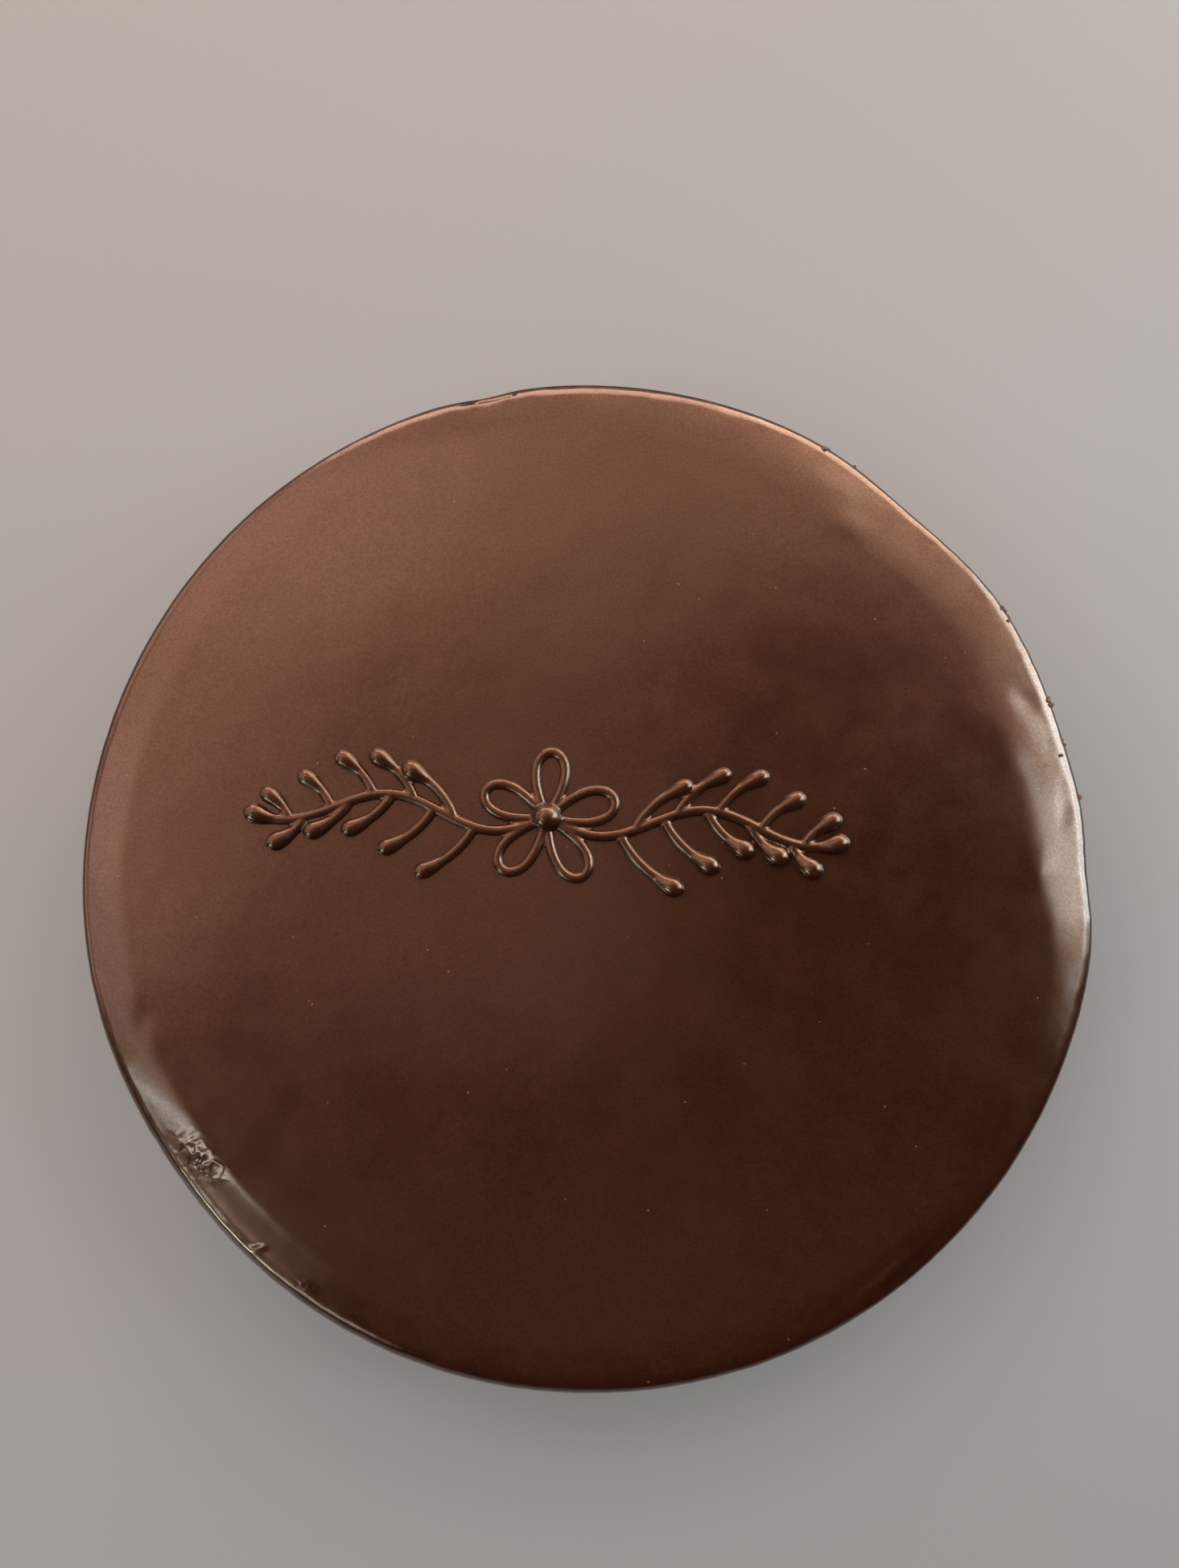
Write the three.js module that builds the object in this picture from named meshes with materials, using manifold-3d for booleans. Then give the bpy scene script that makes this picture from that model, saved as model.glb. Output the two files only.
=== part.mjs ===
// A whole glazed chocolate torte: a low round cake under one coat of poured chocolate glaze, with a blossom and two
// sprigs piped across its top in the same chocolate. It is uncut, so it is one solid. Millimetres, +Z up, the origin
// in the middle of the face that it stands on, +Y towards the upper edge of the piped ornament.

import * as THREE from "three";
import { ParametricGeometry } from "three/addons/geometries/ParametricGeometry.js";
import { mergeVertices } from "three/addons/utils/BufferGeometryUtils.js";
import Module from "manifold-3d";

const { clamp, degToRad, smoothstep, euclideanModulo, lerp } = THREE.MathUtils;
const FULL_TURN = 2 * Math.PI;

// ---- Driving dimensions ----

const TORTE_DIAMETER = 220; // across the glazed wall
const TORTE_HEIGHT = 54; // from the board to the middle of the top
const FOOT_HEIGHT = 4.5; // the glaze that has run down and gathered at the board
const FOOT_SPREAD = 1.4; // how far that foot stands out past the wall
const FOOT_TUCK = 1.2; // how far it draws in again underneath
const FOOT_BULGE_AT = 0.35; // where it stands out furthest, as a share of its height
const RUN_DEPTH = 0.35; // the soft upright waves that the glaze leaves as it runs down the wall

const WALL_RADIUS = TORTE_DIAMETER / 2;
const BAND_LENGTH = 131; // the piped ornament, end to end
const BAND_CENTRE = new THREE.Vector2(-9, 10); // it sits a little up and to the left of the middle
const BAND_TILT = degToRad(-3);
const LINE_SINK = 0.7; // how deep a line sits in the glaze, and
const LINE_RISE = 1.2; // how high it stands out of it, both as shares of half its width
const STEM_SWAY = 3.4; // how far the stem of a sprig waves to either side of the centre line, and
const STEM_WAVE = 46; // the length of one such wave
const LEAF_PAIRS = 5; // on each sprig
const FIRST_LEAF = 19.5; // where the first leaf and the last one leave the stem, from the ornament's middle
const LAST_LEAF = 56;
const LEAF_STAGGER = 3.5; // how far the lower leaves are set back from the upper ones
const LONGEST_LEAF = 16; // the first leaf's length, and
const SHORTEST_LEAF = 9; // the last one's
const PETALS = 5;
const PETAL_REACH = 15; // from the blossom's middle
const PETAL_SPREAD = degToRad(26); // half the angle that a petal takes at its foot
const MIDDLE_DROP = 3; // half the width of the drop in the blossom's middle
const LINE_RADIUS = 1.2; // half the width of a piped line
const BULB_RADIUS = 2.3; // the drop that a line ends in
const BULB_TAPER = 5; // the length over which that drop thins into the line

// ---- Unevenness of the hand-poured glaze ----

// Where the outline strays from a true circle.
const OUTLINE_SWELLS = [
  { azimuth: 359, spread: 4, rise: -1.2 },
  { azimuth: 15.5, spread: 9, rise: -1.15 },
  { azimuth: 47, spread: 7, rise: -1.95 },
  { azimuth: 102.6, spread: 2.5, rise: -0.7 },
  { azimuth: 128, spread: 28, rise: 0.45 },
  { azimuth: 216, spread: 9, rise: -0.45 },
  { azimuth: 275, spread: 13, rise: -0.2 },
  { azimuth: 351, spread: 9.5, rise: 0.5 },
];

// The top falls away a little before the rounded corner: over what width, and by how much.
const PLAIN_BEVEL = { width: 8, drop: 0.5 };
const BEVEL_SWELLS = [
  { azimuth: 16, spread: 20, width: 4, drop: 0.8 },
  { azimuth: 60, spread: 16, width: 3.5, drop: 0.5 },
  { azimuth: 222, spread: 14, width: 0, drop: 1 },
  { azimuth: 309, spread: 7, width: -2, drop: 0.4 },
  { azimuth: 346, spread: 7, width: -3, drop: -0.1 },
];

// Then the glaze rolls over the edge, like a quarter of an ellipse: how far in and how far down that reaches.
const PLAIN_CORNER = { reach: 3.6, fall: 1.6 };
const CORNER_SWELLS = [
  { azimuth: 240, spread: 45, reach: 1, fall: 3.4 },
  { azimuth: 12, spread: 12, reach: 2, fall: 0.4 },
  { azimuth: 184, spread: 16, reach: -1.6, fall: -1.2 },
];

// Low rises and hollows left on the top.
const TOP_SWELLS = [
  { x: -58, y: 44, spread: 26, rise: 0.35 },
  { x: 52, y: 62, spread: 20, rise: 0.3 },
  { x: 22, y: 30, spread: 22, rise: -0.3 },
  { x: 74, y: 8, spread: 18, rise: 0.3 },
  { x: -20, y: -52, spread: 30, rise: 0.25 },
  { x: 48, y: -50, spread: 26, rise: -0.25 },
  { x: -84, y: -24, spread: 15, rise: 0.25 },
];

// Upright waves round the wall: how many in a turn, how strong, and how far round they start.
const WALL_RUNS = [
  { count: 9, share: 0.4, phase: 0.6 },
  { count: 14, share: 0.35, phase: 2.1 },
  { count: 23, share: 0.25, phase: 4.4 },
];

// ---- Resolution ----

const AZIMUTH_STEPS = 118;
const BODY_RINGS = { base: 1, foot: 4, wall: 2, corner: 5, top: 8 }; // in order from below
const STROKE_STEP = 3.2; // between the rings of a piped line
const STROKE_END_RINGS = 5; // more of them for its two round ends
const END_CROWDING = 0.55; // how much closer the rings stand towards the ends, from 0 to 1
const STROKE_SIDES = 8;

// ---- The glaze surface ----

/** A smooth hump, 1 at nought and fading to nothing over about three spreads. */
function hump(distance, spread) {
  return Math.exp(-((distance / spread) ** 2) / 2);
}

/** How much of a swell is felt at an azimuth, in radians. Its own azimuth and spread are in degrees. */
function humpAt(azimuth, swell) {
  const apart = euclideanModulo(azimuth - degToRad(swell.azimuth) + Math.PI, FULL_TURN) - Math.PI;
  return hump(apart, degToRad(swell.spread));
}

/** The wall's radius at the shoulder. */
function outlineRadius(azimuth) {
  return OUTLINE_SWELLS.reduce((radius, swell) => radius + swell.rise * humpAt(azimuth, swell), WALL_RADIUS);
}

/** Plain sizes with what the swells add to them at an azimuth. */
function swollenAt(azimuth, plain, swells) {
  const sizes = { ...plain };
  for (const swell of swells) {
    const share = humpAt(azimuth, swell);
    for (const name of Object.keys(plain)) sizes[name] += swell[name] * share;
  }
  return sizes;
}

/** Width and drop of the fall towards the rim. */
const bevelAt = (azimuth) => swollenAt(azimuth, PLAIN_BEVEL, BEVEL_SWELLS);

/** Reach and fall of the rounded corner. */
const cornerAt = (azimuth) => swollenAt(azimuth, PLAIN_CORNER, CORNER_SWELLS);

/** How far round its quarter of an ellipse the corner starts, so that the top runs into it without a kink. */
function cornerStart(azimuth) {
  const { width, drop } = bevelAt(azimuth);
  const { reach, fall } = cornerAt(azimuth);
  return Math.atan(((2 * drop) / width) * (reach / fall));
}

/** Where the top ends and the rounded corner begins. */
function topRadius(azimuth) {
  return outlineRadius(azimuth) - cornerAt(azimuth).reach * (1 - Math.sin(cornerStart(azimuth)));
}

/** Height of the glazed top over a point of the board. */
function topHeight(x, y) {
  const azimuth = Math.atan2(y, x);
  const { width, drop } = bevelAt(azimuth);
  const intoBevel = Math.max(0, 1 - (topRadius(azimuth) - Math.hypot(x, y)) / width);
  const relief = TOP_SWELLS.reduce(
    (sum, swell) => sum + swell.rise * hump(Math.hypot(x - swell.x, y - swell.y), swell.spread),
    0,
  );
  return TORTE_HEIGHT + relief - drop * intoBevel ** 2;
}

/** Depth of the upright waves at an azimuth, about -1 to 1. */
function runWave(azimuth) {
  return WALL_RUNS.reduce((sum, run) => sum + run.share * Math.sin(run.count * azimuth + run.phase), 0);
}

/** The wall's radius, down as a share of the way from the corner to the foot: the waves grow as the glaze runs. */
function wallRadius(azimuth, down) {
  return outlineRadius(azimuth) + RUN_DEPTH * runWave(azimuth) * down;
}

/** Radius and height of the glaze at one station of the profile. Each zone is crossed as t goes from 0 to 1. */
const PROFILE = {
  base(azimuth, t) {
    return [PROFILE.foot(azimuth, 0)[0] * t, 0];
  },
  foot(azimuth, t) {
    const aboveBulge = (t - FOOT_BULGE_AT) / (1 - FOOT_BULGE_AT);
    const bulge = FOOT_SPREAD * (1 + 0.4 * runWave(azimuth)) * Math.cos((aboveBulge * Math.PI) / 2) ** 2;
    const tuck = FOOT_TUCK * Math.max(0, 1 - t / FOOT_BULGE_AT) ** 2;
    return [wallRadius(azimuth, 1) + bulge - tuck, FOOT_HEIGHT * t];
  },
  wall(azimuth, t) {
    const shoulder = PROFILE.corner(azimuth, 0)[1];
    return [wallRadius(azimuth, 1 - t), lerp(FOOT_HEIGHT, shoulder, t)];
  },
  corner(azimuth, t) {
    const { reach, fall } = cornerAt(azimuth);
    const start = cornerStart(azimuth);
    const radius = topRadius(azimuth);
    const level = topHeight(radius * Math.cos(azimuth), radius * Math.sin(azimuth));
    const turned = lerp(Math.PI / 2, start, t);
    return [
      outlineRadius(azimuth) - reach * (1 - Math.sin(turned)),
      level - fall * (Math.cos(start) - Math.cos(turned)),
    ];
  },
  top(azimuth, t) {
    const radius = topRadius(azimuth) * (1 - t ** 1.5); // rings crowd towards the rim
    return [radius, topHeight(radius * Math.cos(azimuth), radius * Math.sin(azimuth))];
  },
};

/** The whole glaze surface, from the middle of the base, out, up the wall and in to the middle of the top. */
function glazeGeometry() {
  const ringsInAll = Object.values(BODY_RINGS).reduce((sum, rings) => sum + rings, 0);
  const pointAt = (u, v, target) => {
    const azimuth = u * FULL_TURN;
    let station = v * ringsInAll;
    for (const [zone, rings] of Object.entries(BODY_RINGS)) {
      if (station <= rings || zone === "top") {
        const [radius, height] = PROFILE[zone](azimuth, clamp(station / rings, 0, 1));
        target.set(radius * Math.cos(azimuth), radius * Math.sin(azimuth), height);
        return;
      }
      station -= rings;
    }
  };
  return new ParametricGeometry(pointAt, AZIMUTH_STEPS, ringsInAll);
}

// ---- The piped ornament ----
// It is drawn in its own plane, u along the band from its middle and v up: a blossom between two leafy sprigs that
// mirror each other.

/** A small repeatable difference between pieces that a hand has piped, from -1 to 1. */
const byHand = (seed) => Math.sin(12.9898 * seed + 4.1);

/** How far the stem of a sprig sways from the centre line, at a distance along the band. */
const stemSway = (u) => -STEM_SWAY * Math.sin((FULL_TURN * u) / STEM_WAVE);

/** The gently waving stem of one sprig, from the middle of the blossom. */
function stemPath(t) {
  const u = (BAND_LENGTH / 2) * t;
  return new THREE.Vector2(u, stemSway(u));
}

/** A leaf that parts from the stem and bends over towards the sprig's tip; leaves grow shorter towards it. */
function leafPath(pair, up, hand) {
  const share = pair / (LEAF_PAIRS - 1);
  const footU = lerp(FIRST_LEAF, LAST_LEAF, share) - (up > 0 ? 0 : LEAF_STAGGER) + 0.5 * byHand(hand);
  const footV = stemSway(footU);
  const reach = lerp(LONGEST_LEAF, SHORTEST_LEAF, share) * (1 + 0.05 * byHand(hand + 3));
  const lean = 0.45 + 0.06 * byHand(hand + 5);
  return (t) =>
    new THREE.Vector2(
      footU + reach * (lean * t + 0.35 * t ** 2),
      footV + up * reach * (0.95 * t - 0.25 * t ** 2),
    );
}

/** A petal of the blossom: a narrow loop out from its middle and back. */
function petalPath(petal) {
  const heading = Math.PI / 2 + (FULL_TURN * petal) / PETALS + degToRad(2) * byHand(petal);
  const reach = PETAL_REACH * (1 + 0.04 * byHand(petal + 2));
  return (t) => {
    const radius = reach * Math.sin(Math.PI * t);
    const angle = heading + PETAL_SPREAD * Math.cos(Math.PI * t);
    return new THREE.Vector2(radius * Math.cos(angle), radius * Math.sin(angle));
  };
}

/** The round drop in the middle of the blossom. */
const middlePath = (t) => new THREE.Vector2(MIDDLE_DROP * (2 * t - 1), 0);

/** Every line of the ornament: its path, and how thick its bulbs are at the start and the end. */
function ornamentStrokes() {
  const strokes = [];
  for (const side of [-1, 1]) {
    const mirrored = (path) => (t) => path(t).multiply(new THREE.Vector2(side, 1));
    strokes.push({ path: mirrored(stemPath), start: LINE_RADIUS, end: BULB_RADIUS });
    for (let pair = 0; pair < LEAF_PAIRS; pair++) {
      for (const up of [-1, 1]) {
        const hand = pair + 10 * side + 5 * up;
        const drop = BULB_RADIUS * (0.92 + 0.1 * byHand(hand + 1));
        strokes.push({ path: mirrored(leafPath(pair, up, hand)), start: LINE_RADIUS, end: drop });
      }
    }
  }
  for (let petal = 0; petal < PETALS; petal++) {
    strokes.push({ path: petalPath(petal), start: LINE_RADIUS, end: LINE_RADIUS });
  }
  strokes.push({ path: middlePath, start: MIDDLE_DROP, end: MIDDLE_DROP });
  return strokes;
}

/** Half the width of a piped line, with its round ends and its drops, at a distance along it. */
function strokeRadius(along, length, stroke) {
  const swollen = (distance, bulb) => lerp(bulb, LINE_RADIUS, smoothstep(distance, bulb, bulb + BULB_TAPER));
  const rounded = (distance, bulb) =>
    distance < bulb ? Math.sqrt(Math.max(0, bulb ** 2 - (bulb - distance) ** 2)) : Infinity;
  const left = length - along;
  const line = Math.max(swollen(along, stroke.start), swollen(left, stroke.end));
  return Math.min(line, rounded(along, stroke.start), rounded(left, stroke.end));
}

/** One piped line as a bead of chocolate, sunk a little into the glaze under it. */
function strokeGeometry(stroke) {
  const onTop = (t) => stroke.path(t).rotateAround(new THREE.Vector2(), BAND_TILT).add(BAND_CENTRE);
  const samples = Array.from({ length: 200 }, (_, i) => onTop(i / 199));
  const length = new THREE.Path().setFromPoints(samples).getLength();
  const route = new THREE.SplineCurve(samples);
  const rings = Math.ceil(length / STROKE_STEP) + STROKE_END_RINGS;
  const pointAt = (u, v, target) => {
    const share = clamp(v - (END_CROWDING * Math.sin(FULL_TURN * v)) / FULL_TURN, 0, 1);
    const middle = route.getPointAt(share);
    const ahead = route.getTangentAt(share);
    const radius = strokeRadius(share * length, length, stroke);
    const across = radius * Math.cos(u * FULL_TURN);
    const lift = radius * lerp(-LINE_SINK, LINE_RISE, (1 + Math.sin(u * FULL_TURN)) / 2);
    target.set(
      middle.x - ahead.y * across,
      middle.y + ahead.x * across,
      topHeight(middle.x, middle.y) + lift,
    );
  };
  return new ParametricGeometry(pointAt, STROKE_SIDES, rings);
}

// ---- Joining them into one solid ----

const manifold = await Module();
manifold.setup();

/** A closed geometry as a solid, its doubled vertices merged and its collapsed faces dropped. */
function solidOf(geometry) {
  geometry.deleteAttribute("normal");
  geometry.deleteAttribute("uv");
  const merged = mergeVertices(geometry, 1e-3);
  const corners = merged.index.array;
  const kept = [];
  for (let i = 0; i < corners.length; i += 3) {
    const [a, b, c] = corners.slice(i, i + 3);
    if (a !== b && b !== c && c !== a) kept.push(a, b, c);
  }
  return new manifold.Manifold(
    new manifold.Mesh({
      numProp: 3,
      vertProperties: merged.attributes.position.array,
      triVerts: Uint32Array.from(kept),
    }),
  );
}

/** A solid as a geometry with flat facets. */
function geometryOf(solid) {
  const { vertProperties, triVerts } = solid.getMesh();
  const geometry = new THREE.BufferGeometry();
  geometry.setAttribute("position", new THREE.BufferAttribute(vertProperties, 3));
  geometry.setIndex(new THREE.BufferAttribute(triVerts, 1));
  geometry.computeVertexNormals();
  return geometry;
}

let torteSolid = solidOf(glazeGeometry());
for (const stroke of ornamentStrokes()) torteSolid = torteSolid.add(solidOf(strokeGeometry(stroke)));

const chocolateGlaze = new THREE.MeshStandardMaterial({
  name: "chocolate_glaze",
  color: 0x4a291c,
  roughness: 0.38,
  metalness: 0,
});

const torte = new THREE.Mesh(geometryOf(torteSolid), chocolateGlaze);
torte.name = "torte";

const root = new THREE.Group();
root.name = "glazed_torte";
root.add(torte);

export default root;
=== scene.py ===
"""The finish of a whole glazed chocolate torte: poured glaze, a blossom and sprigs piped on it, and crumbs.

Lengths are in millimetres where they are named, and meshes are made in metres. The origin is in the middle of
the face that the torte stands on, with +Z up.
"""

import math

import bpy
import numpy as np
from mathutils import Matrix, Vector


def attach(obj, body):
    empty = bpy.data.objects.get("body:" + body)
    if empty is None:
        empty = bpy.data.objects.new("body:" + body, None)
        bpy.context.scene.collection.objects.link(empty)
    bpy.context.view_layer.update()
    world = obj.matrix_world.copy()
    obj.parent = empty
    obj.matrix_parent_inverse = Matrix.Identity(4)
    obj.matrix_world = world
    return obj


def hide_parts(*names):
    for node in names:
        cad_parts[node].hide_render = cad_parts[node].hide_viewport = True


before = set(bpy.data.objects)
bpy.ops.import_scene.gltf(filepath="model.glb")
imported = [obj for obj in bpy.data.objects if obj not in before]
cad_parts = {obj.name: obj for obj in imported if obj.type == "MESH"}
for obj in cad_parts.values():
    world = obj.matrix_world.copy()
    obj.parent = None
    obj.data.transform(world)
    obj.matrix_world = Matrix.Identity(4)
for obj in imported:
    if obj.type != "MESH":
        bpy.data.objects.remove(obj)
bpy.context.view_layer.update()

MM = 0.001
FULL_TURN = 2 * math.pi

# ---- The torte's own sizes, the same as those of its solid ----

TORTE_DIAMETER = 220
TORTE_HEIGHT = 54
FOOT_HEIGHT = 4.5
FOOT_SPREAD = 1.4
FOOT_TUCK = 1.2
FOOT_BULGE_AT = 0.35  # where the foot stands out furthest, as a share of its height
FOOT_WAVE = 0.4  # how much more of it has gathered below a run
RUN_DEPTH = 0.35
WALL_RADIUS = TORTE_DIAMETER / 2

BAND_LENGTH = 131
BAND_CENTRE = np.array((-9.0, 10.0))
BAND_TILT = math.radians(-3)
STEM_SWAY = 3.4
STEM_WAVE = 46
LEAF_PAIRS = 5
FIRST_LEAF = 19.5
LAST_LEAF = 56
LEAF_STAGGER = 3.5
LONGEST_LEAF = 16
SHORTEST_LEAF = 9
LEAF_LEAN = 0.45  # how far a leaf goes along the stem as it starts out, and
LEAF_SWEEP = 0.35  # how much further as it bends, as shares of its length
LEAF_RISE = 0.95  # the same away from the stem, and
LEAF_DROOP = 0.25  # how much less as it bends
LEAF_DROP = 0.92  # the drop at a leaf's end, as a share of the stem's
PETALS = 5
PETAL_REACH = 15
PETAL_SPREAD = math.radians(26)
MIDDLE_DROP = 3
LINE_RADIUS = 1.2
BULB_RADIUS = 2.3
BULB_TAPER = 5
LINE_SINK = 0.7  # how deep a piped line sits in the glaze, and
LINE_RISE = 1.2  # how high it stands out of it, both as shares of half its width

# Where the outline strays from a true circle.
OUTLINE_SWELLS = (
    {"azimuth": 359, "spread": 4, "rise": -1.2},
    {"azimuth": 15.5, "spread": 9, "rise": -1.15},
    {"azimuth": 47, "spread": 7, "rise": -1.95},
    {"azimuth": 102.6, "spread": 2.5, "rise": -0.7},
    {"azimuth": 128, "spread": 28, "rise": 0.45},
    {"azimuth": 216, "spread": 9, "rise": -0.45},
    {"azimuth": 275, "spread": 13, "rise": -0.2},
    {"azimuth": 351, "spread": 9.5, "rise": 0.5},
)

# The top falls away a little before the rounded corner: over what width, and by how much.
PLAIN_BEVEL = {"width": 8, "drop": 0.5}
BEVEL_SWELLS = (
    {"azimuth": 16, "spread": 20, "width": 4, "drop": 0.8},
    {"azimuth": 60, "spread": 16, "width": 3.5, "drop": 0.5},
    {"azimuth": 222, "spread": 14, "width": 0, "drop": 1},
    {"azimuth": 309, "spread": 7, "width": -2, "drop": 0.4},
    {"azimuth": 346, "spread": 7, "width": -3, "drop": -0.1},
)
BEVEL_CREASE = 0.6  # how softly the top turns down into it: 0 is a sharp crease

# Then the glaze rolls over the edge, like a quarter of an ellipse: how far in and how far down that reaches.
PLAIN_CORNER = {"reach": 3.6, "fall": 1.6}
CORNER_SWELLS = (
    {"azimuth": 240, "spread": 45, "reach": 1, "fall": 3.4},
    {"azimuth": 12, "spread": 12, "reach": 2, "fall": 0.4},
    {"azimuth": 184, "spread": 16, "reach": -1.6, "fall": -1.2},
)

# Low rises and hollows left on the top.
TOP_SWELLS = (
    {"x": -58, "y": 44, "spread": 26, "rise": 0.35},
    {"x": 52, "y": 62, "spread": 20, "rise": 0.3},
    {"x": 22, "y": 30, "spread": 22, "rise": -0.3},
    {"x": 74, "y": 8, "spread": 18, "rise": 0.3},
    {"x": -20, "y": -52, "spread": 30, "rise": 0.25},
    {"x": 48, "y": -50, "spread": 26, "rise": -0.25},
    {"x": -84, "y": -24, "spread": 15, "rise": 0.25},
)

# Upright waves round the wall: how many in a turn, how strong, and how far round they start.
WALL_RUNS = (
    {"count": 9, "share": 0.4, "phase": 0.6},
    {"count": 14, "share": 0.35, "phase": 2.1},
    {"count": 23, "share": 0.25, "phase": 4.4},
)

# ---- Marks in the glaze near its edge ----

# Smooth dents and ridges: where round the torte, how far in from the wall, how far they spread along the rim
# and across it, how many degrees they are turned from the rim's own direction, and how high they stand.
RIM_MARKS = (
    # The far shoulder is rounder than the rest.
    {"azimuth": 88, "inset": 0, "length": 40, "width": 3.2, "turn": 0, "rise": -0.45},
    # A finger's dent on the right, and what it has pushed up.
    {"azimuth": 52.5, "inset": 13, "length": 4, "width": 2, "turn": 20, "rise": 0.14},
    {"azimuth": 48, "inset": 8, "length": 6, "width": 3.5, "turn": 10, "rise": -0.15},
    # Two folds in the right shoulder, each with a hollow outside it.
    {"azimuth": 17, "inset": 13.5, "length": 8, "width": 5, "turn": 25, "rise": 0.22},
    {"azimuth": 20.5, "inset": 5.6, "length": 4, "width": 2, "turn": 24, "rise": -0.16},
    {"azimuth": 359, "inset": 11.4, "length": 3.6, "width": 2.2, "turn": -24, "rise": 0.22},
    {"azimuth": 6.5, "inset": 4.6, "length": 3.4, "width": 1.3, "turn": -12, "rise": -0.12},
    # Dents on the left.
    {"azimuth": 193, "inset": 4.4, "length": 3, "width": 1.6, "turn": 20, "rise": -0.14},
    {"azimuth": 199.5, "inset": 9.5, "length": 2.6, "width": 1.6, "turn": -20, "rise": -0.12},
    # A long ridge at the lower left, and a knob beside it.
    {"azimuth": 224, "inset": 2.4, "length": 13, "width": 0.6, "turn": 0, "rise": 0.3},
    {"azimuth": 229.4, "inset": 4.1, "length": 1.1, "width": 0.55, "turn": 55, "rise": 0.3},
    # A groove at the lower right, and a ridge inside it.
    {"azimuth": 308.6, "inset": 2.4, "length": 8, "width": 0.8, "turn": 3, "rise": -0.4},
    {"azimuth": 306, "inset": 4.2, "length": 5, "width": 0.9, "turn": 5, "rise": 0.3},
)

# Patches where the setting skin has crinkled: the same measures, the height of the folds and their spacing.
CRINKLES = (
    {"azimuth": 217.3, "inset": 7.2, "length": 4.4, "width": 2.0, "turn": 10, "rise": 0.15, "spacing": 2.4},
    {"azimuth": 236.4, "inset": 4.7, "length": 2.0, "width": 0.9, "turn": -8, "rise": 0.12, "spacing": 1.6},
    {"azimuth": 242.8, "inset": 4.6, "length": 1.6, "width": 0.5, "turn": -5, "rise": 0.13, "spacing": 1.4},
    {"azimuth": 250.5, "inset": 2.9, "length": 3, "width": 0.5, "turn": 0, "rise": 0.12, "spacing": 1.6},
    {"azimuth": 307.5, "inset": 2.9, "length": 5, "width": 0.7, "turn": 3, "rise": 0.15, "spacing": 1.8},
)
FOLD_WIDTH = 0.42  # half the width of a fold, as a share of the spacing
CRINKLED_REACH = 1.2  # how far a patch's gloss spreads, beside its folds

# A ledge in the far edge, where the glaze has slipped: its ends round the torte, over how many degrees it
# starts and stops, its width and depth, and how far the step at its inner edge is softened to either side.
LEDGE = {
    "from": 98.9,
    "to": 106,
    "start": 0.5,
    "stop": 5,
    "width": 1.1,
    "depth": 2.2,
    "inward": 0.2,
    "outward": 0.4,
}

RIM_UNEVENNESS_WIDTH = 2.5  # how far in from the wall the small unevenness of the rim fades
RUN_STRETCH = 0.16  # how slowly the wall's unevenness changes upward, beside its change round the wall
FOOT_SHARE = 0.5  # how much of the wall's unevenness reaches the top of the foot

# Soft dark spots in the glaze.
SMUDGES = (
    {"x": 98, "y": -18.6, "spread": 1.3},
    {"x": 93.2, "y": -10.3, "spread": 1.0},
)

# Where sponge crumbs stick to the wall, just under its corner.
CRUMB_SPOTS = (
    {"azimuth": 30.5, "spread": 0.9, "rise": 1.0},
    {"azimuth": 19, "spread": 0.8, "rise": 1.2},
    {"azimuth": 12.5, "spread": 3.5, "rise": 0.35},
    {"azimuth": 56, "spread": 4.0, "rise": 0.25},
)
CRUMB_LEVEL = {"height": 50, "spread": 1}
CRUMB_RADIUS = 106  # they stick only further out than this
CRUMB_SIZES = (0.3, 0.75)
CRUMBS_PER_SQUARE_METRE = 6e5

# ---- How finely the pieces are meshed ----

COLUMNS = 768  # round the rim
COLUMN_CROWDS = (  # more columns where the rim has fine marks
    {"azimuth": 217.5, "spread": 4, "rise": 3},
    {"azimuth": 234, "spread": 8, "rise": 1.4},
    {"azimuth": 10, "spread": 16, "rise": 0.6},
    {"azimuth": 308, "spread": 6, "rise": 0.8},
    {"azimuth": 102, "spread": 4, "rise": 1.4},
)
SHELL_RINGS = {"base": 8, "foot": 8, "wall": 14, "corner": 16, "top": 96}  # in order from below
RIM_BAND = 0.16  # the outer share of the top that
RIM_BAND_RINGS = 50  # has this many of its rings
HALVING_RADII = (77, 40, 18)  # inside each, there are half as many columns as outside it
FINE_AZIMUTHS = 7201  # tried round the rim to place its columns
POLE_RADIUS = 1e-6  # a ring smaller than this is one point

PATH_SAMPLES = 400  # of a piped line's path, to measure it
LINE_STEP = 0.35  # about how far apart a piped line's points are, and
FEWEST_POINTS = 8  # how many even the shortest has
END_CROWDING = 0.25  # how strongly they crowd towards its ends, from 0 to 1
LEAST_RADIUS = 0.02  # half the width that a line ends in
ORNAMENT_VOXEL = 0.26
SOFTENING_FACTOR = 0.5
SOFTENING_STEPS = 5


# ---- The glaze surface ----


def hump(distance, spread):
    """A smooth hump, 1 at nought and fading to nothing over about three spreads."""
    return np.exp(-((distance / spread) ** 2) / 2)


def apart(azimuth, degrees):
    """The angle in radians from an azimuth given in degrees, the short way round."""
    return (azimuth - math.radians(degrees) + math.pi) % FULL_TURN - math.pi


def hump_at(azimuth, swell):
    """How much of a swell is felt at an azimuth in radians."""
    return hump(apart(azimuth, swell["azimuth"]), math.radians(swell["spread"]))


def outline_radius(azimuth):
    """The wall's radius at the shoulder."""
    return WALL_RADIUS + sum(swell["rise"] * hump_at(azimuth, swell) for swell in OUTLINE_SWELLS)


def swollen_at(azimuth, plain, swells):
    """Plain sizes with what the swells add to them at an azimuth, in the order of the plain ones."""
    return [
        size + sum(swell[name] * hump_at(azimuth, swell) for swell in swells) for name, size in plain.items()
    ]


def bevel_at(azimuth):
    """Width and drop of the fall towards the rim."""
    return swollen_at(azimuth, PLAIN_BEVEL, BEVEL_SWELLS)


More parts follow.
